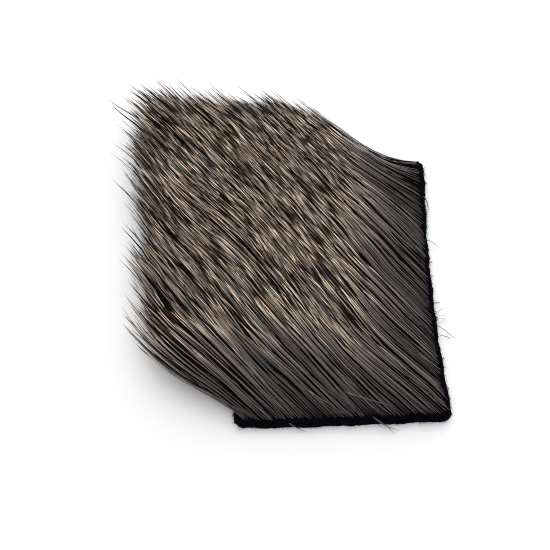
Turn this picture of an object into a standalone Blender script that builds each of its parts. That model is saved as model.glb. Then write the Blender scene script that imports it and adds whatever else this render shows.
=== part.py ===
"""Elk hair patch for fly tying: a flat, unevenly cut quadrilateral of dressed elk hide, about 47 by 65 mm,
with its coat still rooted in it. The coat is combed one way, up and to the left in plan, so that it leaves
the right and front cut edges bare, rises in shingled layers and reaches far past the other two edges.

The hide lies flat with its flesh side at Z = 0. The coat is one closed solid of all of the hair: thin
where the first hairs are rooted, deep over the hide, and a lifted wedge of tips where it overhangs.
Sizes and plan positions are in millimetres, in the hide's own layout, and are centred on the origin at the
end.
"""

import math

import bpy

MM = 0.001

# The hide: its thickness, how far its cut edge slopes and is eased, and how uneven the cut runs.
HIDE_THICKNESS = 2.6
CUT_SLOPE = 0.5
CUT_EASING = 0.35
CUT_WAVER = 0.22
CUT_WAVER_PERIOD = 9.0
CORNER_TRIM = 1.3
CUT_POINT_SPACING = 1.6

# The hide's corners, counterclockwise in plan, and how far the cut from each one to the next bows outwards.
HIDE_CORNERS = (
    # name            x      y     bow
    ("front_left", -6.3, -37.6, 0.3),
    ("front_right", 41.0, -35.0, -1.3),
    ("back_right", 33.5, 29.6, -1.6),
    ("back_left", -12.0, 22.5, 0.6),
)

# The cut face from the flesh side up to the hair side.
CUT_PROFILE = (
    # share of the thickness, inset
    (0.0, CUT_EASING),
    (0.12, 0.0),
    (0.5, 0.35 * CUT_SLOPE),
    (0.88, 0.8 * CUT_SLOPE),
    (1.0, CUT_SLOPE + CUT_EASING),
)

# The coat: its gap to the skin, the bare margin along the cut where it starts and its depth there.
SKIN_GAP = 0.3
BARE_MARGIN = 1.0
ROOT_DEPTH = 0.7

# How high the hair has risen at its tip, on the coat's top and on its overhanging underside, how sharply it
# rises at the root, and how far the overhang's top droops.
TOP_LIFT = 8.0
TOP_SHARPNESS = 1.8
UNDER_LIFT = 4.5
UNDER_SHARPNESS = 1.5
TIP_DROOP = 1.0

# How the overhang thins towards its tips and its two sides: the lengths it takes, the share of its depth
# that is left, and the height, as a share of the depth, that it thins towards.
TIP_TAPER = 8.0
SIDE_TAPER = 5.0
SIDE_TAPER_RUN = 14.0
THINNEST_SHARE = 0.16
THINNED_TO = 0.5

# The combed locks: their relief, how many combed lines apart they lie, how far along the coat they take to
# form, and how ragged their tips are.
LOCK_RELIEF = 0.3
LOCK_PERIOD = 3.7
LOCK_SLANT = 0.05
LOCK_RUN = 12.0
TIP_RAGGEDNESS = 1.1
TIP_PERIOD = 7.0

# How far in plan the hair reaches past its root, read along the cut where the coat starts.
REACH = (
    # share from the back right corner to the front left one, reach
    (0.0, 27.0),
    (0.2, 25.5),
    (0.5, 31.0),
    (0.75, 35.0),
    (1.0, 33.5),
)

# Direction that the hair is combed, in degrees from -X towards +Y, at three places across and three along.
COMB_X = (-28.0, 3.0, 34.0)
COMB_Y = (34.0, -2.0, -34.0)
COMB_DEGREES = (
    # left, middle, right
    (43.0, 43.0, 38.0),  # back
    (45.0, 50.0, 38.0),  # middle
    (40.0, 39.0, 33.0),  # front
)

# Corners where the hair is splayed away from the comb's direction, and how far that reaches.
SPLAYS = (
    # x      y     degrees  reach
    (33.5, 29.6, -42.0, 9.0),
    (-14.0, -31.0, -13.0, 6.0),
)

# How finely the coat is made: combed lines side by side, stations along each, and the step that follows one.
COMBED_LINES = 52
STATIONS = 26
MARCH_STEP = 0.5
LONGEST_OVER_HIDE = 80.0
EVENING_ROUNDS = 6
SHARP_DEGREES = 40.0


def smooth(value):
    """0 below 0, 1 above 1, and an S-curve between."""
    value = min(max(value, 0.0), 1.0)
    return value * value * (3.0 - 2.0 * value)


def mix(a, b, share):
    return a + (b - a) * share


def waver(s, period):
    """An irregular wave along a length s, between -1 and 1: three sines of falling size and period."""
    return (
        0.5 * math.sin(2.0 * math.pi * s / period + 0.7)
        + 0.3 * math.sin(2.0 * math.pi * s / (0.43 * period) + 2.1)
        + 0.2 * math.sin(2.0 * math.pi * s / (0.19 * period) + 4.4)
    )


def parabola(values, places, at):
    """The parabola through three values at three places, read at one more."""
    total = 0.0
    for i, value in enumerate(values):
        for j, place in enumerate(places):
            if j != i:
                value *= (at - place) / (places[i] - place)
        total += value
    return total


def comb_angle(x, y):
    """Direction of the hair at a point of the plan, in radians from -X towards +Y."""
    rows = [parabola(row, COMB_X, x) for row in COMB_DEGREES]
    degrees = parabola(rows, COMB_Y, y)
    for splay_x, splay_y, turn, reach in SPLAYS:
        distance = math.hypot(x - splay_x, y - splay_y)
        degrees += turn * math.exp(-0.5 * (distance / reach) ** 2)
    return math.radians(degrees)


def cut_between(start, end, bow):
    """Points of one cut edge: a shallow, slightly wavy bow that stops short of the corners."""
    (x0, y0), (x1, y1) = start, end
    length = math.hypot(x1 - x0, y1 - y0)
    normal = ((y1 - y0) / length, (x0 - x1) / length)
    count = round((length - 2.0 * CORNER_TRIM) / CUT_POINT_SPACING)
    points = []
    for i in range(count + 1):
        s = mix(CORNER_TRIM, length - CORNER_TRIM, i / count)
        out = bow * math.sin(math.pi * s / length) + CUT_WAVER * waver(s + x0, CUT_WAVER_PERIOD)
        x = mix(x0, x1, s / length) + normal[0] * out
        y = mix(y0, y1, s / length) + normal[1] * out
        points.append((x, y))
    return points


def hide_cuts():
    """The four cut edges of the hide, counterclockwise from the front one."""
    corners = [(x, y) for _, x, y, _ in HIDE_CORNERS]
    bows = [bow for _, _, _, bow in HIDE_CORNERS]
    return [cut_between(*pair, bow) for pair, bow in zip(zip(corners, corners[1:] + corners[:1]), bows)]


def inset(outline, distance):
    """The outline moved inwards by a distance, each point square to the line between its neighbours."""
    moved = []
    for i, (x, y) in enumerate(outline):
        before, after = outline[i - 1], outline[(i + 1) % len(outline)]
        dx, dy = after[0] - before[0], after[1] - before[1]
        length = math.hypot(dx, dy)
        moved.append((x - distance * dy / length, y + distance * dx / length))
    return moved


def inside(point, outline):
    """Whether a point of the plan lies inside a closed outline."""
    x, y = point
    found = False
    for (x0, y0), (x1, y1) in zip(outline, outline[1:] + outline[:1]):
        if (y0 > y) != (y1 > y) and x < mix(x0, x1, (y - y0) / (y1 - y0)):
            found = not found
    return found


def spread_evenly(path, count):
    """count + 1 points at equal distances along a path, and that distance."""
    lengths = [0.0]
    for start, end in zip(path, path[1:]):
        lengths.append(lengths[-1] + math.dist(start, end))
    points = []
    segment = 0
    for i in range(count + 1):
        s = lengths[-1] * i / count
        while segment < len(path) - 2 and lengths[segment + 1] < s:
            segment += 1
        share = (s - lengths[segment]) / (lengths[segment + 1] - lengths[segment])
        (x0, y0), (x1, y1) = path[segment], path[segment + 1]
        points.append((mix(x0, x1, share), mix(y0, y1, share)))
    return points, lengths[-1] / count


def root_line(outline, cuts):
    """Where the coat starts: just inside the right cut, read from its back end, and then the front cut."""
    bare = inset(outline, BARE_MARGIN)
    corner = len(cuts[0])
    end = corner + len(cuts[1])
    return spread_evenly(bare[corner:end][::-1] + bare[:corner][::-1], COMBED_LINES)


def follow_comb(start, length):
    """Points every MARCH_STEP along the combed direction from a start, to just past a length."""
    x, y = start
    points = [start]
    for _ in range(math.ceil(length / MARCH_STEP) + 1):
        angle = comb_angle(x, y)
        half = 0.5 * MARCH_STEP
        angle = comb_angle(x - half * math.cos(angle), y + half * math.sin(angle))
        x -= MARCH_STEP * math.cos(angle)
        y += MARCH_STEP * math.sin(angle)
        points.append((x, y))
    return points


def length_over_hide(start, outline):
    """How far a combed line runs above the hide before it passes the far edge."""
    points = follow_comb(start, LONGEST_OVER_HIDE)
    return MARCH_STEP * next(i for i, point in enumerate(points) if not inside(point, outline))


def evened(values):
    """Neighbouring values drawn together, as hairs that lie side by side hold each other in line."""
    for _ in range(EVENING_ROUNDS):
        inner = [0.25 * a + 0.5 * b + 0.25 * c for a, b, c in zip(values, values[1:], values[2:])]
        values = [values[0], *inner, values[-1]]
    return values


def reach_at(line):
    """How far the hair of one combed line reaches past its root, with the raggedness of its tips."""
    at = line / COMBED_LINES
    (before, reach), (after, next_reach) = next(
        pair for pair in zip(REACH, REACH[1:]) if at <= pair[1][0]
    )
    share = smooth((at - before) / (after - before))
    return mix(reach, next_reach, share) + TIP_RAGGEDNESS * waver(line, TIP_PERIOD)


def rise(share, lift, sharpness):
    """Height of a combed hair at a share of its length: steep at the root and flat at the tip."""
    return lift * (1.0 - (1.0 - min(max(share, 0.0), 1.0)) ** sharpness)


def coat_line(start, line, over_hide, line_spacing):
    """The coat along one combed line: a plan point, a lowest and a highest height for each station."""
    reach = reach_at(line)
    total = over_hide + reach
    points = follow_comb(start, total)
    from_side = line_spacing * min(line, COMBED_LINES - line)
    skin = HIDE_THICKNESS + SKIN_GAP
    stations = []
    for j in range(STATIONS + 1):
        s = total * j / STATIONS
        index = int(s / MARCH_STEP)
        x, y = (mix(a, b, s / MARCH_STEP - index) for a, b in zip(points[index], points[index + 1]))
        past_hide = max(s - over_hide, 0.0)
        low = skin + rise(past_hide / reach, UNDER_LIFT, UNDER_SHARPNESS)
        high = skin + ROOT_DEPTH + rise(s / reach, TOP_LIFT, TOP_SHARPNESS)
        high -= TIP_DROOP * smooth(past_hide / reach)
        high += LOCK_RELIEF * waver(line + LOCK_SLANT * s, LOCK_PERIOD) * smooth(s / LOCK_RUN)
        depth = smooth((total - s) / TIP_TAPER)
        depth *= mix(1.0, smooth(from_side / SIDE_TAPER), smooth(past_hide / SIDE_TAPER_RUN))
        depth = mix(THINNEST_SHARE, 1.0, depth)
        middle = mix(low, high, THINNED_TO)
        stations.append((x, y, mix(middle, low, depth), mix(middle, high, depth)))
    return stations


def material(name, colour, roughness):
    made = bpy.data.materials.new(name)
    made.use_nodes = True
    shader = made.node_tree.nodes["Principled BSDF"]
    shader.inputs["Base Color"].default_value = (*colour, 1.0)
    shader.inputs["Roughness"].default_value = roughness
    shader.inputs["Metallic"].default_value = 0.0
    return made


def add_object(name, vertices, faces, own_material):
    """One named object, from points in millimetres."""
    mesh = bpy.data.meshes.new(name)
    mesh.from_pydata([(x * MM, y * MM, z * MM) for x, y, z in vertices], [], faces)
    mesh.materials.append(own_material)
    mesh.shade_smooth()
    mesh.set_sharp_from_angle(angle=math.radians(SHARP_DEGREES))
    made = bpy.data.objects.new(name, mesh)
    bpy.context.scene.collection.objects.link(made)
    return made


def build_hide(outline):
    """The skin: flat faces joined by rings of the cut's profile."""
    count = len(outline)
    vertices = []
    for share, by in CUT_PROFILE:
        vertices += [(x, y, HIDE_THICKNESS * share) for x, y in inset(outline, by)]
    top = len(vertices) - count
    faces = [list(range(count))[::-1], list(range(top, top + count))]
    for ring in range(0, top, count):
        for i in range(count):
            a, b = ring + i, ring + (i + 1) % count
            faces.append((a, b, b + count, a + count))
    return add_object("hide", vertices, faces, material("dyed_hide", (0.008, 0.008, 0.016), 0.85))


def build_coat(outline, cuts):
    """The hair: a grid of combed lines for its top, one for its underside, and a rim between them."""
    starts, line_spacing = root_line(outline, cuts)
    over_hide = evened([length_over_hide(start, outline) for start in starts])
    lines = [coat_line(starts[i], i, over_hide[i], line_spacing) for i in range(COMBED_LINES + 1)]
    low = [(x, y, low) for line in lines for x, y, low, _ in line]
    high = [(x, y, high) for line in lines for x, y, _, high in line]
    width = STATIONS + 1
    top = len(low)
    last = COMBED_LINES * width
    faces = []
    for a in range(0, last, width):
        for j in range(a, a + STATIONS):
            faces.append((j, j + width, j + width + 1, j + 1))
            faces.append((top + j, top + j + 1, top + j + width + 1, top + j + width))
    rim = [*range(0, last, width), *range(last, last + STATIONS)]
    rim += [*range(last + STATIONS, STATIONS, -width), *range(STATIONS, 0, -1)]
    for a, b in zip(rim, rim[1:] + rim[:1]):
        faces.append((a, top + a, top + b, b))
    return add_object("hair_coat", low + high, faces, material("elk_hair", (0.13, 0.105, 0.085), 0.6))


def centre_on_origin(objects):
    """Moves the objects together, so that the middle of the whole patch's plan is at X = Y = 0."""
    points = [vertex.co for piece in objects for vertex in piece.data.vertices]
    for axis in range(2):
        values = [point[axis] for point in points]
        for piece in objects:
            piece.location[axis] = -0.5 * (min(values) + max(values))


def main():
    for old in list(bpy.data.objects):
        bpy.data.objects.remove(old)
    cuts = hide_cuts()
    outline = [point for cut in cuts for point in cut]
    centre_on_origin([build_hide(outline), build_coat(outline, cuts)])


main()
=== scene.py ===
"""Looks of the elk hair patch: a dyed, cut piece of hide and the coat of single hairs that is rooted in it.

Sizes and places in the tables are in millimetres. Plan places are measured from the middle of the hide's
own box, so they hold wherever the frame puts the hide.
"""

import math

import bpy
import numpy as np
from mathutils import Matrix, Vector


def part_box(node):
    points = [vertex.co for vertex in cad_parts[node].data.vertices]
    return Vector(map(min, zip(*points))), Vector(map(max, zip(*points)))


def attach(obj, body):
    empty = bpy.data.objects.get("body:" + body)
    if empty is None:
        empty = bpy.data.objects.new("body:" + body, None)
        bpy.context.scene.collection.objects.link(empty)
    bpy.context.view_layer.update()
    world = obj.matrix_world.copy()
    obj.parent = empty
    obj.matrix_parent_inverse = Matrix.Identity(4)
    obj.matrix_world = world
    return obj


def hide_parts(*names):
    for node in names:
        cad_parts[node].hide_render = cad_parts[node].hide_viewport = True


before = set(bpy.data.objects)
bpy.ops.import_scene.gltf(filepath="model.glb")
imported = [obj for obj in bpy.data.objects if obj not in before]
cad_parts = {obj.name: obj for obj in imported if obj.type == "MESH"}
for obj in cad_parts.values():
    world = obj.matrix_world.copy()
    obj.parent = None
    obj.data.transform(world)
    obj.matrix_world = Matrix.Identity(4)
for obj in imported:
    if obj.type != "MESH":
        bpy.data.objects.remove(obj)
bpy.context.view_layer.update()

MM = 0.001

# The hide's box, its hair side and its middle, all from the frame.
HIDE_LOW, HIDE_HIGH = (np.array(corner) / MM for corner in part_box("hide"))
HIDE_MIDDLE = 0.5 * (HIDE_LOW + HIDE_HIGH)
SKIN = float(HIDE_HIGH[2])

# ------------------------------------------------------------------------------ how the coat is combed

# Direction that the hair is combed, in degrees from -X towards +Y, at three places across and three along.
COMB_X = (-42.4, -11.4, 19.6)
COMB_Y = (38.1, 2.1, -29.9)
COMB_DEGREES = (
    # left, middle, right
    (43.0, 43.0, 38.0),  # back
    (45.0, 50.0, 38.0),  # middle
    (40.0, 39.0, 33.0),  # front
)

# Places where the hair is turned away from the comb's direction, and how far that reaches.
SPLAYS = (
    # x      y     degrees  reach
    (19.1, 33.7, -42.0, 9.0),
    (-28.4, -26.9, -13.0, 6.0),
    (-27.6, 14.2, -9.0, 8.0),
    (-44.6, 30.5, 8.0, 6.0),
    (2.2, -10.9, 5.0, 8.0),
    (-49.0, 16.0, 12.0, 7.0),
    (-46.0, -3.0, 10.0, 7.0),
)

# Waviness that all the hair shares, in degrees.
BROAD_WAVE_TURN = 1.4
FINE_WAVE_TURN = 1.5

# How far in plan the hair reaches past its root, read along the cut where the coat starts.
REACH = (
    # share from the back right corner to the front left one, reach
    (0.0, 27.0),
    (0.2, 25.5),
    (0.5, 32.0),
    (0.75, 34.0),
    (1.0, 32.4),
)

# How light the hair is, read the same way.
BRIGHTNESS_ALONG_CUT = (
    # share from the back right corner to the front left one, brightness
    (0.0, 1.0),
    (0.3, 0.9),
    (0.45, 1.02),
    (0.6, 1.1),
    (0.75, 0.94),
    (1.0, 0.86),
)

# --------------------------------------------------------------------------------- where hair is rooted

# Roots stand out to just past the hide's flat top, and their outer line wavers a little.
ROOT_SPREAD = 1.014
ROOT_MARGIN = 0.05
MARGIN_RIPPLE = 0.1
JITTER = (0.1, 0.9)

# Radius of the bare patch at the hide's front left corner, and width of the bare strip along its front.
BARE_CORNER = 1.7
BARE_FRONT = 0.5

# Roots in rows along the cuts: how near a cut's line they stand, and how clear of the two side corners.
ROW_BAND = 1.2
CLEAR_OF_CORNER = 0.8

# Step at which a combed line is followed over the hide, and the most steps it takes.
MARCH_STEP = 1.0
MARCH_STEPS = 100

# ------------------------------------------------------------------------------------ how a hair stands

TIP_DROOP = 1.0
ROOT_SINK = 0.15

# The coat is lower where it runs out at the far cuts, and at the two ends of the near cuts.
FAR_EDGE_LEVEL = 0.62
FAR_EDGE_WIDTH = 12.0
END_LEVEL = 0.8
END_SHARE = 0.05

# Each hair's own reach, as a share of what its place gives. Some are cut or grow short, and those near the
# cuts are shorter.
OWN_REACH = (0.7, 1.12)
SHORT_HAIRS = 0.12
SHORT_REACH = (0.65, 0.95)
EDGE_RIPPLE = 0.035
REACH_NEAR_CUT = 0.78
NEAR_CUT_WIDTH = 12.0

# Thickness along a hair and from hair to hair.
ROOT_THICKNESS = 0.75
ROOT_PART = 0.2
POINT_PART = 0.2
POINT_SHAPE = 0.7
UNEVEN_RADIUS = 0.16
RADIUS_RANGE = (0.6, 1.4)

# Range of a hair's own tone.
TONE_RANGE = (-2.5, 0.9)

# How strongly the hair is drawn together into locks of two sizes, and how the locks differ.
LOCKS = (
    # spacing, strength
    (1.8, 0.2),
    (4.2, 0.12),
)
LOCK_SEED = 11
LOCK_GRIP = 0.9
LOCK_REACH = 0.05
LOCK_TURN = 2.5
LOCK_TONE = 0.06
LOCK_PHASE = 0.45
LOCK_LIFT = 0.006

# The kinds of hair. Dense, dull under hair fills the coat, coloured near black as painted shade in the gaps
# between the hairs above it. Guard hair lies on it like shingles and is what shows, with some near-black
# hairs among it that are painted shade between the strands. The first row stands evenly along the right and
# front cuts, the last row along the back and left cuts.
# The under hair's low brightness turns it near black: painted shade in the gaps of the coat.
UNDER = dict(name="painted_shade_under_hair", seed=11, spacing=0.55, segments=6, sides=3, radius=0.13, lift=6.7,
             sharpness=1.8, uneven_lift=0.03, uneven_reach=0.05, spare=1.12, fan=2.4, pieces=2,
             brightness=0.05, contrast=0.4, finish="dull", locks=1.0, cuts=None)
GUARD = dict(name="guard_hair", seed=12, spacing=0.95, segments=9, sides=4, radius=0.16, lift=8.1,
             sharpness=1.5, uneven_lift=0.013, uneven_reach=0.06, spare=1.2, fan=4.0, pieces=2,
             brightness=1.0, contrast=0.58, finish="glossy", locks=1.0, cuts=None)
# These hairs' low brightness turns them near black: painted shade between the guard hairs.
DARK = dict(GUARD, name="painted_shade_hair", seed=14, spacing=1.6, brightness=0.07, finish="dull", pieces=1)
FIRST_ROW = dict(GUARD, name="first_row_hair", seed=13, spacing=0.62, radius=0.135, cuts="near",
                 depth=0.9, sharpness=1.8, uneven_reach=0.14, spare=0.88, contrast=0.45, fan=1.4,
                 locks=0.4, pieces=1)
LAST_ROW = dict(GUARD, name="last_row_hair", seed=15, spacing=0.5, cuts="far", depth=3.0,
                uneven_reach=0.05, spare=1.12, pieces=1)

# A hair's cell in the unwrapping: its width and length, the clear margin in it, and its root's place.
CELL_WIDTH = 3.0
CELL_LENGTH = 60.0
CELL_MARGIN = np.array([0.2, 0.05])
ROOT_CAP = 0.04


def smooth(value):
    """0 below 0, 1 above 1, and an S-curve between."""
    value = np.clip(value, 0.0, 1.0)
    return value * value * (3.0 - 2.0 * value)


def mix(a, b, share):
    """From a to b by share."""
    return a + (b - a) * share


def rise(share, sharpness):
    """Height along a hair, as a share of its full lift: steep at the root, level at the tip."""
    return 1.0 - (1.0 - np.clip(share, 0.0, 1.0)) ** sharpness


def taper(share):
    """Thickness along a hair, as a share of its thickest: slim at the root, fine at the tip."""
    body = mix(ROOT_THICKNESS, 1.0, smooth(share / ROOT_PART))
    return body * np.clip((1.0 - share) / POINT_PART, 0.0, 1.0) ** POINT_SHAPE


def parabola(values, places, at):
    """The parabola through three values at three places, read at one more."""
    total = 0.0
    for i, value in enumerate(values):
        term = value
        for j, place in enumerate(places):
            if j != i:
                term = term * (at - place) / (places[i] - place)
        total = total + term
    return total


def comb_angle(x, y):
    """Direction of the hair at points of the plan, in radians from -X towards +Y."""
    x = x - HIDE_MIDDLE[0]
    y = y - HIDE_MIDDLE[1]
    rows = [parabola(row, COMB_X, x) for row in COMB_DEGREES]
    degrees = parabola(rows, COMB_Y, y)
    for splay_x, splay_y, turn, reach in SPLAYS:
        squared = (x - splay_x) ** 2 + (y - splay_y) ** 2
        degrees = degrees + turn * np.exp(-0.5 * squared / reach**2)
    return np.radians(degrees)


class Ripples:
    """A smooth irregular field over the plan, about -1 to 1: plane waves in all directions."""

    def __init__(self, seed, wavelength, waves=9):
        rng = np.random.default_rng(seed)
        heading = rng.uniform(0.0, 2.0 * math.pi, waves)
        number = 2.0 * math.pi / (wavelength * rng.uniform(0.6, 1.6, waves))
        self.across = number * np.cos(heading)
        self.along = number * np.sin(heading)
        self.phase = rng.uniform(0.0, 2.0 * math.pi, waves)
        self.size = 1.4 / math.sqrt(waves)

    def __call__(self, x, y):
        total = 0.0
        for across, along, phase in zip(self.across, self.along, self.phase):
            total = total + np.sin(across * x + along * y + phase)
        return self.size * total


BROAD_WAVE = Ripples(3, 16.0)
FINE_WAVE = Ripples(4, 6.5)
MARGIN_WAVE = Ripples(5, 5.0)
EDGE_WAVE = Ripples(6, 7.0)


def combed_wave(x, y):
    """The shared waviness of the coat, in radians."""
    return np.radians(BROAD_WAVE_TURN * BROAD_WAVE(x, y) + FINE_WAVE_TURN * FINE_WAVE(x, y))


# ------------------------------------------------------------------------------------ the hide's outline


def outline_at(height):
    """The hide's outline at one height, counterclockwise, read from the frame."""
    points = np.array([v.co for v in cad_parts["hide"].data.vertices]) / MM
    ring = points[np.abs(points[:, 2] - height) < 0.01][:, :2]
    ring = np.unique(np.round(ring, 3), axis=0)
    middle = ring.mean(0)
    order = np.argsort(np.arctan2(ring[:, 1] - middle[1], ring[:, 0] - middle[0]))
    return ring[order]


def corner(outline, right, back):
    """The outline's corner on one side: right and back are 1 or -1."""
    return outline[np.argmax(right * outline[:, 0] + back * outline[:, 1])]


def inside(x, y, outline):
    """Whether points of the plan lie inside a closed outline."""
    found = np.zeros(len(x), bool)
    for (x0, y0), (x1, y1) in zip(outline, np.roll(outline, -1, axis=0)):
        crosses = (y0 > y) != (y1 > y)
        if y0 != y1:
            found ^= crosses & (x < x0 + (x1 - x0) * (y - y0) / (y1 - y0))
    return found


def beyond(x, y, start, end):
    """How far points lie outwards of the line from start to end of a counterclockwise outline."""
    dx, dy = end - start
    return ((x - start[0]) * dy - (y - start[1]) * dx) / math.hypot(dx, dy)


def distance_to(x, y, outline):
    """Distance from points of the plan to the nearest piece of an outline."""
    nearest = np.full(len(x), np.inf)
    for start, end in zip(outline, np.roll(outline, -1, axis=0)):
        step = end - start
        along = ((x - start[0]) * step[0] + (y - start[1]) * step[1]) / (step @ step)
        along = np.clip(along, 0.0, 1.0)
        gap = np.hypot(x - start[0] - along * step[0], y - start[1] - along * step[1])
        nearest = np.minimum(nearest, gap)
    return nearest


def resample(outline, spacing):
    """Points at equal distances round a closed outline."""
    closed = np.vstack([outline, outline[:1]])
    steps = np.linalg.norm(np.diff(closed, axis=0), axis=1)
    lengths = np.concatenate([[0.0], np.cumsum(steps)])
    count = round(lengths[-1] / spacing)
    at = np.arange(count) * lengths[-1] / count
    return np.stack([np.interp(at, lengths, closed[:, i]) for i in range(2)], axis=1)


def outward_of(outline):
    """Directions straight out of a closed outline, smoothed along it."""
    step = np.roll(outline, -1, axis=0) - np.roll(outline, 1, axis=0)
    outward = np.stack([step[:, 1], -step[:, 0]], axis=1)
    outward /= np.linalg.norm(outward, axis=1, keepdims=True)
    for _ in range(3):
        outward = np.roll(outward, 1, axis=0) + 2.0 * outward + np.roll(outward, -1, axis=0)
        outward /= np.linalg.norm(outward, axis=1, keepdims=True)
    return outward


# The flat hair side, the widest outline near the flesh side, and the corners and cuts between them.
FOOT_HEIGHT = 0.12
TOP = outline_at(SKIN)
FOOT = outline_at(FOOT_HEIGHT * SKIN)
FRONT_LEFT = corner(TOP, -1, -1)
FRONT_RIGHT = corner(TOP, 1, -1)
BACK_RIGHT = corner(TOP, 1, 1)
BACK_LEFT = corner(TOP, -1, 1)
RIGHT_CUT = (FRONT_RIGHT, BACK_RIGHT)
FRONT_CUT = (FRONT_LEFT, FRONT_RIGHT)
BACK_CUT = (BACK_RIGHT, BACK_LEFT)
LEFT_CUT = (BACK_LEFT, FRONT_LEFT)

# The outline that roots stand inside: the flat top, spread a little, with the front drawn back.
ROOT_EDGE = HIDE_MIDDLE[:2] + ROOT_SPREAD * (TOP - HIDE_MIDDLE[:2])
ROOT_EDGE[beyond(*ROOT_EDGE.T, *FRONT_CUT) > -1.0, 1] += BARE_FRONT


# ---------------------------------------------------------------------------------- roots and hair paths


def march(x, y, way, lines):
    """Follows the comb from points, with it (1) or against it (-1), until past one of two lines."""
    x, y = x.copy(), y.copy()
    gone = np.zeros(len(x))
    for _ in range(MARCH_STEPS):
        going = (beyond(x, y, *lines[0]) < 0.0) & (beyond(x, y, *lines[1]) < 0.0)
        angle = comb_angle(x, y)
        x -= going * way * MARCH_STEP * np.cos(angle)
        y += going * way * MARCH_STEP * np.sin(angle)
        gone += going * MARCH_STEP
    return x, y, gone


def near_cut_share(x, y):
    """Place along the right and front cuts, from the back right corner, of the comb's line through points."""
    x, y, _ = march(x, y, -1, (RIGHT_CUT, FRONT_CUT))
    right = np.linalg.norm(BACK_RIGHT - FRONT_RIGHT)
    front = np.linalg.norm(FRONT_RIGHT - FRONT_LEFT)
    on_right = beyond(x, y, *RIGHT_CUT) >= beyond(x, y, *FRONT_CUT)
    down = np.hypot(x - BACK_RIGHT[0], y - BACK_RIGHT[1])
    left = np.hypot(x - FRONT_RIGHT[0], y - FRONT_RIGHT[1])
    return np.clip(np.where(on_right, down, right + left) / (right + front), 0.0, 1.0)


def reach_at(share):
    """How far the hair of a combed line reaches past its root."""
    shares, reaches = (np.array(column) for column in zip(*REACH))
    place = np.clip(np.searchsorted(shares, share, side="right") - 1, 0, len(shares) - 2)
    between = smooth((share - shares[place]) / (shares[place + 1] - shares[place]))
    return mix(reaches[place], reaches[place + 1], between)


def scatter(spacing, rng):
    """Plan places inside the edge of the roots, on a jittered grid."""
    low, high = ROOT_EDGE.min(0), ROOT_EDGE.max(0)
    across = np.arange(low[0], high[0], spacing)
    along = np.arange(low[1], high[1], spacing)
    x, y = (grid.ravel() for grid in np.meshgrid(across, along))
    x = x + spacing * rng.uniform(*JITTER, len(x))
    y = y + spacing * rng.uniform(*JITTER, len(y))
    keep = inside(x, y, ROOT_EDGE)
    return x[keep], y[keep]


def rows_at_cuts(kind, rng):
    """Plan places of roots standing evenly along two of the cuts, up to a depth in from them."""
    near = kind["cuts"] == "near"
    cuts = (RIGHT_CUT, FRONT_CUT) if near else (BACK_CUT, LEFT_CUT)
    x, y = resample(ROOT_EDGE, kind["spacing"]).T
    keep = np.maximum(beyond(x, y, *cuts[0]), beyond(x, y, *cuts[1])) > -ROW_BAND
    for end in (FRONT_LEFT, BACK_RIGHT):
        keep &= np.hypot(x - end[0], y - end[1]) > CLEAR_OF_CORNER
    x, y = x[keep], y[keep]
    inwards = (1.0 if near else -1.0) * rng.uniform(0.0, kind["depth"], len(x))
    angle = comb_angle(x, y)
    x, y = x - inwards * np.cos(angle), y + inwards * np.sin(angle)
    keep = inside(x, y, ROOT_EDGE) | (distance_to(x, y, ROOT_EDGE) < ROOT_MARGIN)
    return x[keep], y[keep]


def root_places(kind, rng):
    """Plan places of all the roots of one kind."""
    if kind["cuts"]:
        x, y = rows_at_cuts(kind, rng)
    else:
        x, y = scatter(kind["spacing"], rng)
        margin = ROOT_MARGIN + MARGIN_RIPPLE * MARGIN_WAVE(x, y)
        keep = distance_to(x, y, ROOT_EDGE) > margin
        x, y = x[keep], y[keep]
    keep = np.hypot(x - FRONT_LEFT[0], y - FRONT_LEFT[1]) > BARE_CORNER
    return x[keep], y[keep]


def own_reach(kind, x, y, rng):
    """Each hair's own reach, as a share of what its place gives."""
    own = np.clip(rng.normal(1.0, kind["uneven_reach"], len(x)), *OWN_REACH)
    short = rng.random(len(x)) < SHORT_HAIRS
    own *= np.where(short, rng.uniform(*SHORT_REACH, len(x)), 1.0)
    own *= 1.0 + EDGE_RIPPLE * EDGE_WAVE(x, y)
    if not kind["cuts"]:
        from_cut = -np.maximum(beyond(x, y, *RIGHT_CUT), beyond(x, y, *FRONT_CUT))
        own *= mix(REACH_NEAR_CUT, 1.0, smooth(from_cut / NEAR_CUT_WIDTH))
    return own


def follow(x, y, reach, turn, segments):
    """Plan points along combed hairs, one row for each station, each hair turned by its own angle."""
    xs, ys = [x], [y]
    step = reach / segments
    for _ in range(segments):
        angle = comb_angle(xs[-1], ys[-1]) + turn + combed_wave(xs[-1], ys[-1])
        half_x = xs[-1] - 0.5 * step * np.cos(angle)
        half_y = ys[-1] + 0.5 * step * np.sin(angle)
        angle = comb_angle(half_x, half_y) + turn + combed_wave(half_x, half_y)
        xs.append(xs[-1] - step * np.cos(angle))
        ys.append(ys[-1] + step * np.sin(angle))
    return np.array(xs), np.array(ys)


def nearest_of(x, y, to_x, to_y):
    """For each point, the index of the nearest of other points, found a batch at a time."""
    batch = 2000
    found = np.empty(len(x), int)
    for start in range(0, len(x), batch):
        part = slice(start, start + batch)
        squared = (x[part, None] - to_x) ** 2 + (y[part, None] - to_y) ** 2
        found[part] = np.argmin(squared, axis=1)
    return found


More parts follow.
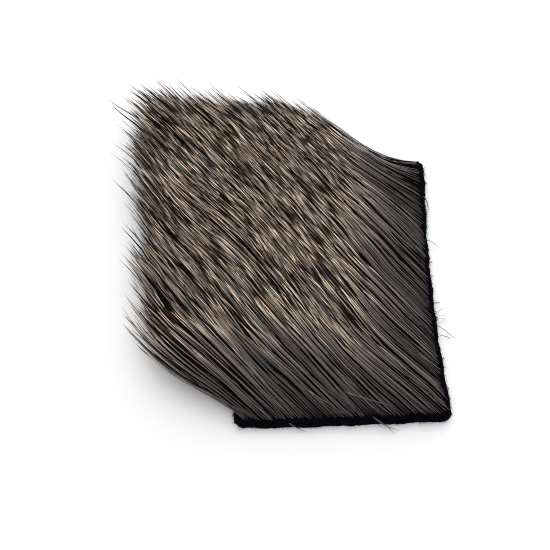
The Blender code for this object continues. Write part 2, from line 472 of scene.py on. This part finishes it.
def comb_hairs(kind):
    """One kind of hair: each hair's stations, and its radius, brightness and colour phase."""
    rng = np.random.default_rng(kind["seed"])
    x, y = root_places(kind, rng)
    count = len(x)
    line = near_cut_share(x, y)
    _, _, ahead = march(x, y, 1, (BACK_CUT, LEFT_CUT))
    reach = reach_at(line) * own_reach(kind, x, y, rng) * kind["spare"]
    turn = np.radians(rng.normal(0.0, kind["fan"], count))
    xs, ys = follow(x, y, reach, turn, kind["segments"])
    share = np.linspace(0.0, 1.0, kind["segments"] + 1)[:, None]
    tone = rng.normal(0.0, 1.0, count)
    phase = rng.normal(0.0, 1.0, count)
    lift = rng.normal(0.0, kind["uneven_lift"], count)

    locks = np.random.default_rng(LOCK_SEED)
    for spacing, strength in LOCKS:
        guide_x, guide_y = scatter(spacing, locks)
        mine = nearest_of(x, y, guide_x, guide_y)
        guides = len(guide_x)
        guide_reach = kind["spare"] * reach_at(near_cut_share(guide_x, guide_y))
        guide_reach *= locks.normal(1.0, LOCK_REACH, guides)
        guide_turn = np.radians(locks.normal(0.0, LOCK_TURN, guides))
        to_x, to_y = follow(guide_x, guide_y, guide_reach, guide_turn, kind["segments"])
        pull = kind["locks"] * strength * smooth(share / LOCK_GRIP)
        xs = mix(xs, to_x[:, mine], pull)
        ys = mix(ys, to_y[:, mine], pull)
        tone = tone + locks.normal(0.0, LOCK_TONE, guides)[mine]
        phase = phase + locks.normal(0.0, LOCK_PHASE, guides)[mine]
        lift = lift + locks.normal(0.0, LOCK_LIFT, guides)[mine]

    level = mix(FAR_EDGE_LEVEL, 1.0, smooth(ahead / FAR_EDGE_WIDTH)) * (1.0 + lift)
    level *= mix(END_LEVEL, 1.0, smooth(np.minimum(line, 1.0 - line) / END_SHARE))
    past = smooth((share * reach - ahead) / reach)
    zs = SKIN + kind["lift"] * level * rise(share, kind["sharpness"]) - TIP_DROOP * past
    zs[0] -= ROOT_SINK
    radius = kind["radius"] * np.clip(rng.normal(1.0, UNEVEN_RADIUS, count), *RADIUS_RANGE)
    bright = kind["brightness"] * np.exp(kind["contrast"] * np.clip(tone, *TONE_RANGE))
    bright *= np.interp(line, *zip(*BRIGHTNESS_ALONG_CUT))
    return np.stack([xs, ys, zs], axis=-1), radius, bright, phase


# ------------------------------------------------------------------------------------------ hair meshes


def tube_points(paths, radius, sides):
    """The corners of each hair's rings and then its tip. Paths run station, hair, coordinate."""
    stations, count, _ = paths.shape
    rings = stations - 1
    share = np.linspace(0.0, 1.0, stations)
    tangent = np.gradient(paths, axis=0)
    tangent /= np.linalg.norm(tangent, axis=2, keepdims=True)
    side = np.cross(tangent, np.array([0.0, 0.0, 1.0]))
    side /= np.linalg.norm(side, axis=2, keepdims=True)
    up = np.cross(side, tangent)
    girth = (taper(share[:rings, None]) * radius)[:, :, None]
    corners = []
    for i in range(sides):
        angle = 0.5 * math.pi + 2.0 * math.pi * i / sides
        out = math.cos(angle) * side[:rings] + math.sin(angle) * up[:rings]
        corners.append(paths[:rings] + girth * out)
    corners = np.stack(corners, axis=1).transpose(2, 0, 1, 3).reshape(count, rings * sides, 3)
    return np.concatenate([corners, paths[-1][:, None, :]], axis=1)


def tube_faces(rings, sides):
    """One hair's triangles, and where their corners lie in the hair's cell of the unwrapping."""
    share = np.linspace(0.0, 1.0, rings + 1)
    tip = rings * sides
    faces = []
    places = []
    for ring in range(rings):
        low, high = share[ring], share[ring + 1]
        for i in range(sides):
            j = (i + 1) % sides
            a, b = ring * sides + i, ring * sides + j
            left, right = i / (sides - 1), j / (sides - 1)
            if ring < rings - 1:
                faces += [(a, b, b + sides), (a, b + sides, a + sides)]
                places += [
                    ((left, low), (right, low), (right, high)),
                    ((left, low), (right, high), (left, high)),
                ]
            else:
                faces.append((a, b, tip))
                places.append(((left, low), (right, low), (0.5, high)))
    for i in range(1, sides - 1):
        faces.append((0, i + 1, i))
        places.append(((0.0, 0.0), (1.0, 0.0), (0.5, ROOT_CAP)))
    return np.array(faces), np.array(places)


def unwrap(mesh, places, count):
    """Gives each hair a narrow cell of its own in the unwrapping, as long as a row of the sheet is high."""
    columns = math.ceil(math.sqrt(count * CELL_LENGTH / CELL_WIDTH))
    rows = math.ceil(count / columns)
    cell = np.stack([np.arange(count) % columns, np.arange(count) // columns], axis=1)
    fill = CELL_MARGIN + places[None] * (1.0 - 2.0 * CELL_MARGIN)
    unwrapping = (cell[:, None, None, :] + fill) / np.array([columns, rows])
    layer = mesh.uv_layers.new(name="OFBake")
    layer.uv.foreach_set("vector", unwrapping.astype(np.float32).ravel())


def add_fact(mesh, name, values):
    """One number for each point of a mesh, for its material to read."""
    attribute = mesh.attributes.new(name, "FLOAT", "POINT")
    attribute.data.foreach_set("value", np.asarray(values, np.float32))


def tube_mesh(name, paths, radius, sides, facts):
    """One mesh of closed tubes that end in a point, with facts that each hair has one value of."""
    points = tube_points(paths, radius, sides)
    count, each, _ = points.shape
    rings = len(paths) - 1
    faces, places = tube_faces(rings, sides)
    mesh = bpy.data.meshes.new(name)
    all_points = (points * MM).reshape(-1, 3)
    all_faces = (faces[None] + each * np.arange(count)[:, None, None]).reshape(-1, 3)
    mesh.vertices.add(len(all_points))
    mesh.vertices.foreach_set("co", all_points.astype(np.float32).ravel())
    mesh.loops.add(all_faces.size)
    mesh.loops.foreach_set("vertex_index", all_faces.astype(np.int32).ravel())
    mesh.polygons.add(len(all_faces))
    mesh.polygons.foreach_set("loop_start", np.arange(0, all_faces.size, 3, dtype=np.int32))
    mesh.polygons.foreach_set("use_smooth", np.ones(len(all_faces), bool))
    mesh.update(calc_edges=True)
    unwrap(mesh, places, count)

    # Each point's place along its hair, and whether it lies on the hair's top corner, which the material
    # paints as a highlight.
    along = np.concatenate([np.repeat(np.linspace(0.0, 1.0, rings + 1)[:rings], sides), [1.0]])
    painted_highlight = np.cos(2.0 * math.pi * np.arange(sides) / sides) > 0.5
    add_fact(mesh, "share", np.tile(along, count))
    add_fact(mesh, "painted_highlight_mask", np.tile(np.concatenate([np.tile(painted_highlight, rings), [0.0]]), count))
    for fact, values in facts.items():
        add_fact(mesh, fact, np.repeat(values, each))
    return link(name, mesh)


def link(name, data):
    """A new object in the scene."""
    made = bpy.data.objects.new(name, data)
    bpy.context.scene.collection.objects.link(made)
    return made


# ------------------------------------------------------------------------------------------- materials


class Nodes:
    """A short way to wire a material's nodes."""

    def __init__(self, name):
        self.material = bpy.data.materials.new(name)
        self.material.use_nodes = True
        self.tree = self.material.node_tree
        self.shader = self.tree.nodes["Principled BSDF"]

    def add(self, kind, settings=None, **inputs):
        """A node with its settings and inputs. An input is named, or is i and its number."""
        node = self.tree.nodes.new(kind)
        for key, value in (settings or {}).items():
            setattr(node, key, value)
        for key, value in inputs.items():
            self.set(node, key, value)
        return node

    def set(self, node, key, value):
        """Links an input to another node's output, or gives it a constant."""
        numbered = key[0] == "i" and key[1:].isdigit()
        socket = node.inputs[int(key[1:])] if numbered else node.inputs[key]
        if isinstance(value, bpy.types.NodeSocket):
            self.tree.links.new(value, socket)
        else:
            socket.default_value = value

    def fact(self, name):
        settings = {"attribute_type": "GEOMETRY", "attribute_name": name}
        return self.add("ShaderNodeAttribute", settings).outputs["Fac"]

    def math(self, operation, a, b=0.0, c=0.0, clamp=False):
        settings = {"operation": operation, "use_clamp": clamp}
        return self.add("ShaderNodeMath", settings, i0=a, i1=b, i2=c).outputs[0]

    def noise(self, scale, detail, vector):
        node = self.add("ShaderNodeTexNoise", None, Scale=scale, Detail=detail, Vector=vector)
        return node.outputs["Fac"]

    def ramp(self, factor, stops):
        node = self.add("ShaderNodeValToRGB", None, Fac=factor)
        elements = node.color_ramp.elements
        while len(elements) < len(stops):
            elements.new(1.0)
        for element, (place, *colour) in zip(elements, stops):
            element.position = place
            element.color = (*colour, 1.0)
        return node.outputs["Color"]

    def place(self):
        return self.add("ShaderNodeTexCoord").outputs["Object"]

    def bump(self, height, distance, strength):
        node = self.add("ShaderNodeBump", None, Strength=strength, Distance=distance, Height=height)
        self.set(self.shader, "Normal", node.outputs["Normal"])

    def constants(self, **values):
        """Constants on the shader's own sockets, named with _ for a space."""
        for key, value in values.items():
            self.set(self.shader, key.replace("_", " "), value)


# Colours along one elk hair, from its root to its tip, for the hair that shows and for the dull hair below.
HAIR_COLOURS = (
    # share, red, green, blue
    (0.00, 0.070, 0.060, 0.060),
    (0.35, 0.097, 0.083, 0.081),
    (0.73, 0.141, 0.118, 0.110),
    (0.80, 0.262, 0.208, 0.166),
    (0.85, 0.390, 0.311, 0.243),
    (0.92, 0.362, 0.280, 0.212),
    (0.95, 0.050, 0.030, 0.020),
    (1.00, 0.010, 0.006, 0.004),
)
DULL_COLOURS = (
    # share, red, green, blue
    (0.00, 0.130, 0.085, 0.070),
    (0.60, 0.200, 0.115, 0.080),
    (1.00, 0.160, 0.080, 0.050),
)

# How far a hair's bands shift with its phase, how much lighter its top is painted as a highlight, and how
# much darker its sides are painted as shade.
BAND_SHIFT = 0.035
PAINTED_HIGHLIGHT_TONE = 1.95
PAINTED_SHADE_TONE = 0.06
UNEVEN_ROUGHNESS = 0.03


def hair_material(finish, colours, roughness, specular):
    """Banded hair; each hair has its own brightness and its own place of the bands, with a painted highlight
    along its top and painted shade on its sides.
    """
    make = Nodes(f"elk_hair_{finish}")
    share, bright, phase = make.fact("share"), make.fact("bright"), make.fact("phase")
    place = make.math("ADD", share, make.math("MULTIPLY", phase, BAND_SHIFT), clamp=True)
    banded = make.ramp(place, colours)
    # Painted light: the top of each hair is made lighter as a painted highlight and its sides darker as
    # painted shade.
    painted_highlight = make.math("MULTIPLY_ADD", make.fact("painted_highlight_mask"), PAINTED_HIGHLIGHT_TONE, PAINTED_SHADE_TONE)
    tone = make.math("MULTIPLY", bright, painted_highlight)
    lit = make.add("ShaderNodeVectorMath", {"operation": "SCALE"}, i0=banded, Scale=tone)
    make.set(make.shader, "Base Color", lit.outputs["Vector"])
    uneven = make.math("MULTIPLY_ADD", phase, UNEVEN_ROUGHNESS, roughness)
    make.set(make.shader, "Roughness", uneven)
    make.constants(Specular_IOR_Level=specular)
    grain = make.noise(2600.0, 2.0, make.place())
    make.bump(grain, 0.00002, 0.4)
    return make.material


def hide_material():
    """Hide dyed blue-black: matt, fibrous skin with a faint nap."""
    make = Nodes("dyed_hide_nap")
    place = make.place()
    mottled = make.noise(420.0, 4.0, place)
    fibres = make.noise(2200.0, 3.0, place)
    colour = make.ramp(mottled, [(0.3, 0.0012, 0.0012, 0.0022), (0.7, 0.003, 0.003, 0.0065)])
    make.set(make.shader, "Base Color", colour)
    make.set(make.shader, "Roughness", make.math("MULTIPLY_ADD", fibres, 0.25, 0.62))
    make.constants(Specular_IOR_Level=0.01)
    coarse = make.math("MULTIPLY", mottled, 0.6)
    fine = make.math("MULTIPLY", fibres, 0.4)
    make.bump(make.math("ADD", coarse, fine), 0.00025, 0.8)
    return make.material


# -------------------------------------------------------------------------------------------- the hide


HIDE_RINGS = (
    # height as a share of the thickness, inset from the foot's outline, roughness of the ring
    (0.00, 0.40, 0.00),
    (0.03, 0.16, 0.03),
    (0.12, 0.02, 0.06),
    (0.26, 0.05, 0.08),
    (0.42, 0.09, 0.09),
    (0.58, 0.14, 0.09),
    (0.74, 0.20, 0.08),
    (0.87, 0.28, 0.07),
    (0.96, 0.42, 0.06),
    (1.00, 0.66, 0.05),
    (1.00, 1.40, 0.04),
    (0.99, 3.00, 0.03),
    (0.98, 8.00, 0.00),
)
# Rings set in further than this shrink towards the middle, and those higher than this are uneven in height.
STRAIGHT_INSET = 2.0
LEVEL_BELOW = 0.9
OUTLINE_STEP = 0.4
CHIPS = Ripples(21, 1.3, 12)
LUMPS = Ripples(22, 3.4, 12)


def build_hide():
    """The hide with its rough cut face, as rings from the flesh side up and in over the hair side."""
    outline = resample(FOOT, OUTLINE_STEP)
    count = len(outline)
    outward = outward_of(outline)
    towards = outline.mean(0) - outline
    towards /= np.linalg.norm(towards, axis=1, keepdims=True)
    length = np.arange(count) * OUTLINE_STEP
    vertices = []
    for share, inset, rough in HIDE_RINGS:
        uneven = 0.6 * CHIPS(length, 7.0 * share) + 0.4 * LUMPS(length, 3.0 * share)
        if inset > STRAIGHT_INSET:
            ring = outline + inset * towards
        else:
            ring = outline - (inset - rough * uneven)[:, None] * outward
        height = np.full(count, share * SKIN)
        if share > LEVEL_BELOW:
            height += 0.5 * rough * LUMPS(length + 5.0, 3.0 * share)
        vertices.append(np.column_stack([ring, height]))
    vertices = np.concatenate(vertices) * MM
    faces = []
    last = (len(HIDE_RINGS) - 1) * count
    for start in range(0, last, count):
        for i in range(count):
            a, b = start + i, start + (i + 1) % count
            faces.append((a, b, b + count, a + count))
    faces.append(tuple(range(count))[::-1])
    faces.append(tuple(range(last, last + count)))
    mesh = bpy.data.meshes.new("hide_skin")
    mesh.from_pydata(vertices.tolist(), [], faces)
    mesh.shade_smooth()
    mesh.set_sharp_from_angle(angle=math.radians(50.0))
    return link("hide_skin", mesh)


# The short dyed fibres: how many, where on the thickness, how deep they root, how they lean and curl.
FUZZ_COUNT = 700
FUZZ_SEED = 31
FUZZ_HEIGHT = (0.1, 0.95)
FUZZ_DEPTH = 0.3
FUZZ_LEAN = 0.7
FUZZ_CURL = 0.5
FUZZ_RADIUS = (0.03, 0.06)
FUZZ_STATIONS = 4
FUZZ_SIDES = 3
SHORTEST_FUZZ = 0.15
LOWEST_FUZZ = 0.1


def build_fuzz():
    """Short dyed fibres that stand out of the hide's cut face."""
    rng = np.random.default_rng(FUZZ_SEED)
    outline = resample(FOOT, OUTLINE_STEP)
    place = rng.integers(0, len(outline), FUZZ_COUNT)
    outward = outward_of(outline)[place]
    along = np.stack([-outward[:, 1], outward[:, 0]], axis=1)
    height = SKIN * rng.uniform(*FUZZ_HEIGHT, FUZZ_COUNT)
    length = rng.gamma(1.6, 0.11, FUZZ_COUNT) + SHORTEST_FUZZ
    lean = rng.normal(0.0, FUZZ_LEAN, FUZZ_COUNT)[:, None]
    curl = rng.normal(0.0, FUZZ_CURL, FUZZ_COUNT)[:, None]
    aside = rng.uniform(-0.5, 0.5, FUZZ_COUNT)[:, None] * OUTLINE_STEP
    start = outline[place] - FUZZ_DEPTH * outward + aside * along
    stations = []
    for share in np.linspace(0.0, 1.0, FUZZ_STATIONS):
        out = share * (length + FUZZ_DEPTH)[:, None]
        plan = start + out * (outward + (lean + curl * share) * along)
        droop = 1.0 - 0.3 * share**2
        stations.append(np.column_stack([plan, np.maximum(height * droop, LOWEST_FUZZ)]))
    radius = rng.uniform(*FUZZ_RADIUS, FUZZ_COUNT)
    facts = {"bright": np.zeros(FUZZ_COUNT), "phase": np.zeros(FUZZ_COUNT)}
    return tube_mesh("hide_fuzz", np.array(stations), radius, FUZZ_SIDES, facts)


# --------------------------------------------------------------------------------------------- the coat


def build_coat():
    """All the hair, a few joined meshes for each kind."""
    finishes = {
        "dull": hair_material("dull", DULL_COLOURS, 0.65, 0.02),
        "glossy": hair_material("glossy", HAIR_COLOURS, 0.36, 0.4),
    }
    made = []
    for kind in (UNDER, GUARD, DARK, FIRST_ROW, LAST_ROW):
        paths, radius, bright, phase = comb_hairs(kind)
        order = np.argsort(paths[0, :, 1], kind="stable")
        for i, part in enumerate(np.array_split(order, kind["pieces"])):
            facts = {"bright": bright[part], "phase": phase[part]}
            name = f"{kind['name']}_{i + 1}"
            piece = tube_mesh(name, paths[:, part], radius[part], kind["sides"], facts)
            piece.data.materials.append(finishes[kind["finish"]])
            made.append(piece)
    strays = build_strays()
    strays.data.materials.append(finishes["glossy"])
    made.append(strays)
    return made


# Loose hairs and cut ends at the edges, each drawn from its start over a bend to its end.
STRAYS = (
    # start                 bend                   end                    radius  brightness
    ((-14.5, -31.0, 2.60), (-14.4, -32.2, 2.70), (-14.0, -32.9, 0.40), 0.08, 0.60),
    ((-10.2, -31.2, 2.70), (-8.60, -33.4, 2.20), (-5.10, -33.9, 0.15), 0.10, 1.00),
    ((9.40, -31.0, 2.70), (11.4, -33.2, 2.40), (15.3, -33.3, 0.15), 0.08, 1.10),
    ((9.80, -31.3, 2.60), (12.1, -32.8, 2.60), (14.2, -34.0, 0.15), 0.06, 1.00),
    ((14.2, -29.6, 5.00), (9.60, -29.0, 6.10), (2.80, -27.0, 7.20), 0.11, 0.80),
    ((3.40, -31.0, 3.80), (0.60, -29.8, 5.60), (-5.20, -26.6, 7.60), 0.11, 0.80),
    ((-19.0, -30.6, 2.70), (-18.2, -32.6, 2.60), (-15.8, -33.6, 0.15), 0.07, 0.80),
    ((19.2, 23.4, 2.80), (20.6, 22.2, 2.60), (20.4, 19.8, 1.70), 0.12, 0.90),
    ((19.4, 12.2, 2.60), (21.2, 12.4, 2.30), (23.0, 11.2, 0.15), 0.06, 0.60),
    ((22.2, -6.20, 1.60), (23.4, -5.60, 2.40), (24.8, -4.20, 0.80), 0.03, 1.20),
    ((22.3, -6.60, 1.40), (23.8, -6.90, 1.90), (24.9, -5.80, 0.40), 0.03, 1.20),
    ((22.5, -7.60, 1.20), (24.0, -6.60, 1.90), (25.2, -7.40, 0.20), 0.03, 1.20),
    ((22.5, -7.90, 1.60), (23.1, -6.20, 2.60), (23.9, -4.80, 2.10), 0.03, 1.20),
    ((22.6, -8.40, 1.20), (24.2, -8.20, 1.60), (24.6, -6.60, 0.60), 0.03, 1.00),
    ((22.4, -8.60, 1.60), (24.4, -9.80, 1.90), (27.0, -11.7, 0.10), 0.06, 0.50),
    ((22.9, -11.8, 1.60), (24.2, -11.0, 1.80), (26.0, -11.6, 0.15), 0.07, 0.35),
    ((22.1, -3.20, 1.20), (22.8, -3.40, 1.30), (23.4, -3.00, 1.10), 0.11, 0.20),
    ((20.6, 6.80, 1.60), (21.3, 6.60, 1.80), (21.8, 6.90, 1.60), 0.09, 0.20),
)
STRAY_STATIONS = 9
STRAY_SIDES = 5


def build_strays():
    """The loose hairs of the table, as one mesh."""
    share = np.linspace(0.0, 1.0, STRAY_STATIONS)[:, None, None]
    starts, bends, ends, radius, bright = (np.array(column) for column in zip(*STRAYS))
    middle = np.array([*HIDE_MIDDLE[:2], 0.0])
    starts, bends, ends = starts + middle, bends + middle, ends + middle
    paths = mix(mix(starts, bends, share), mix(bends, ends, share), share)
    facts = {"bright": bright, "phase": np.zeros(len(STRAYS))}
    return tube_mesh("stray_hair", paths, radius, STRAY_SIDES, facts)


# ------------------------------------------------------------------------------------ camera and lights

AZIMUTH = 18.0
ELEVATION = 62.0
CAMERA_DISTANCE = 330.0
AIM = (-2.95, -3.14, 0.0)
SENSOR = 36.0
CLIP_START = 0.01

# Width of the view where the camera is aimed.
VIEW_WIDTH = 126.728


def direction(azimuth, elevation):
    """From the origin towards a stand at an azimuth, from -Y towards +X, and an elevation, in radians."""
    return Vector((
        math.cos(elevation) * math.sin(azimuth),
        -math.cos(elevation) * math.cos(azimuth),
        math.sin(elevation),
    ))


def add_camera():
    """The camera, rolled so that the front cut lies level in the view."""
    azimuth, elevation = math.radians(AZIMUTH), math.radians(ELEVATION)
    back = direction(azimuth, elevation)
    right = (-back).cross(Vector((0.0, 0.0, 1.0))).normalized()
    up = right.cross(-back)
    roll = -math.atan(math.tan(azimuth) * math.sin(elevation))
    tilted_right = math.cos(roll) * right + math.sin(roll) * up
    tilted_up = -math.sin(roll) * right + math.cos(roll) * up
    data = bpy.data.cameras.new("camera")
    data.sensor_width = SENSOR
    data.lens = SENSOR * CAMERA_DISTANCE / VIEW_WIDTH
    data.clip_start = CLIP_START
    made = link("camera", data)
    place = (Vector(AIM) + CAMERA_DISTANCE * back) * MM
    axes = Matrix((tilted_right, tilted_up, back)).transposed()
    made.matrix_world = Matrix.Translation(place) @ axes.to_4x4()
    bpy.context.scene.camera = made


LAMPS = (
    # name, azimuth and elevation of where it stands, distance in mm, size in mm, watts
    ("key", 168.0, 46.0, 900.0, 1200.0, 7.0),
    ("top", 10.0, 78.0, 1000.0, 900.0, 4.4),
)
WORLD_STRENGTH = 0.4


def add_lights():
    """Two wide soft lamps aimed at the middle, and an even white world."""
    for name, azimuth, elevation, distance, size, watts in LAMPS:
        data = bpy.data.lights.new(name, "AREA")
        data.shape = "DISK"
        data.size = size * MM
        data.energy = watts
        made = link(name, data)
        back = direction(math.radians(azimuth), math.radians(elevation))
        made.location = back * distance * MM
        made.rotation_euler = back.to_track_quat("Z", "Y").to_euler()
    world = bpy.data.worlds.new("studio")
    world.use_nodes = True
    background = world.node_tree.nodes["Background"]
    background.inputs["Color"].default_value = (1.0, 1.0, 1.0, 1.0)
    background.inputs["Strength"].default_value = WORLD_STRENGTH
    bpy.context.scene.world = world


# The floor, in metres: half its width, and how far it lies below the part.
FLOOR_HALF = 3.0
FLOOR_DROP = 0.00005


def add_floor():
    """A plain pale floor."""
    mesh = bpy.data.meshes.new("floor")
    signs = ((-1, -1), (1, -1), (1, 1), (-1, 1))
    corners = [(right * FLOOR_HALF, back * FLOOR_HALF, 0.0) for right, back in signs]
    mesh.from_pydata(corners, [], [(0, 1, 2, 3)])
    make = Nodes("pale_floor")
    make.constants(Base_Color=(0.9, 0.9, 0.91, 1.0), Roughness=0.7, Specular_IOR_Level=0.1)
    mesh.materials.append(make.material)
    made = link("floor", mesh)
    made.location.z = -FLOOR_DROP


def main():
    scene = bpy.context.scene
    scene.view_settings.view_transform = "Standard"
    scene.cycles.filter_width = 1.0
    scene.cycles.denoising_prefilter = "NONE"
    add_camera()
    add_lights()
    add_floor()
    hide = build_hide()
    skin = hide_material()
    hide.data.materials.append(skin)
    fuzz = build_fuzz()
    fuzz.data.materials.append(skin)
    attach(fuzz, "root")
    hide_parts("hide")
    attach(hide, "root")
    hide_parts("hide")
    for piece in build_coat():
        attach(piece, "root")
        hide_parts("hair_coat")


main()
